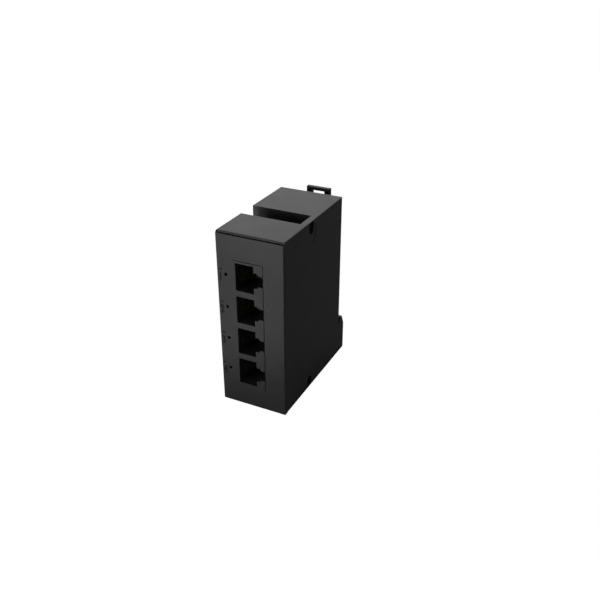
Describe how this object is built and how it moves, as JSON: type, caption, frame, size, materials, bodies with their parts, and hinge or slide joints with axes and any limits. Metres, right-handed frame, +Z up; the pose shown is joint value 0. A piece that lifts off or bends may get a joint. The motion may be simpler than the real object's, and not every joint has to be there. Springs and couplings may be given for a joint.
{
  "type": "power over ethernet extender",
  "caption": "Slim rail-mounted network power extender with stacked sockets in front, a top recess and a sprung clip at the rear.",
  "frame": {"origin": "under the middle of the object, on the plane of its base", "axes": "+Z up, the sockets face -Y, the cover plate is at +X and the rail clip at +Y"},
  "size_m": [0.0286, 0.059, 0.0762],
  "materials": {
    "housing_plastic": "fine spark-textured black moulding",
    "socket_plastic": "black moulding, slightly smoother than the housing",
    "clip_plastic": "smooth black moulding",
    "spring_steel": "plain drawn wire",
    "board_laminate": "solder-masked laminate",
    "chip_epoxy": "moulded epoxy",
    "module_epoxy": "moulded epoxy",
    "pad_rubber": "soft filled pad",
    "sink_aluminium": "extruded, clear",
    "ferrite": "sintered ferrite",
    "bobbin_plastic": "moulded phenolic",
    "winding_tape": "yellow insulating tape",
    "capacitor_can": "bare can",
    "crystal_can": "plated can",
    "screw_steel": "zinc plated",
    "contact_brass": "gold plated",
    "lamp_lens": "tinted lens, unlit"
  },
  "bodies": {
    "housing": {"housing_shell": "housing_plastic", "side_cover": "housing_plastic", "front_panel": "housing_plastic", "jack_block": "socket_plastic", "clip_spring": "spring_steel", "main_board": "board_laminate", "switch_chip": "chip_epoxy", "thermal_pad": "pad_rubber", "heat_sink": "sink_aluminium", "core_half_upper": "ferrite", "core_half_lower": "ferrite", "transformer_bobbin": "bobbin_plastic", "transformer_winding": "winding_tape", "input_capacitor": "capacitor_can", "output_capacitors": "capacitor_can", "power_inductor": "ferrite", "rectifier_bridges": "chip_epoxy", "power_controller": "chip_epoxy", "crystal": "crystal_can", "board_screws": "screw_steel", "port_1_contacts": "contact_brass", "port_1_led": "lamp_lens", "port_1_magnetics": "module_epoxy", "port_2_contacts": "contact_brass", "port_2_led": "lamp_lens", "port_2_magnetics": "module_epoxy", "port_3_contacts": "contact_brass", "port_3_led": "lamp_lens", "port_3_magnetics": "module_epoxy", "port_4_contacts": "contact_brass", "port_4_led": "lamp_lens", "port_4_magnetics": "module_epoxy"},
    "clip": {"rail_clip": "clip_plastic"}
  },
  "joints": [
    {"name": "clip_slide", "type": "slide", "parent": "housing", "child": "clip", "axis": [0, 0, 1], "range_m": [0, 0.003], "stiffness_N_per_m": 600, "springref_m": -0.002, "deforming": ["clip_spring"]}
  ]
}
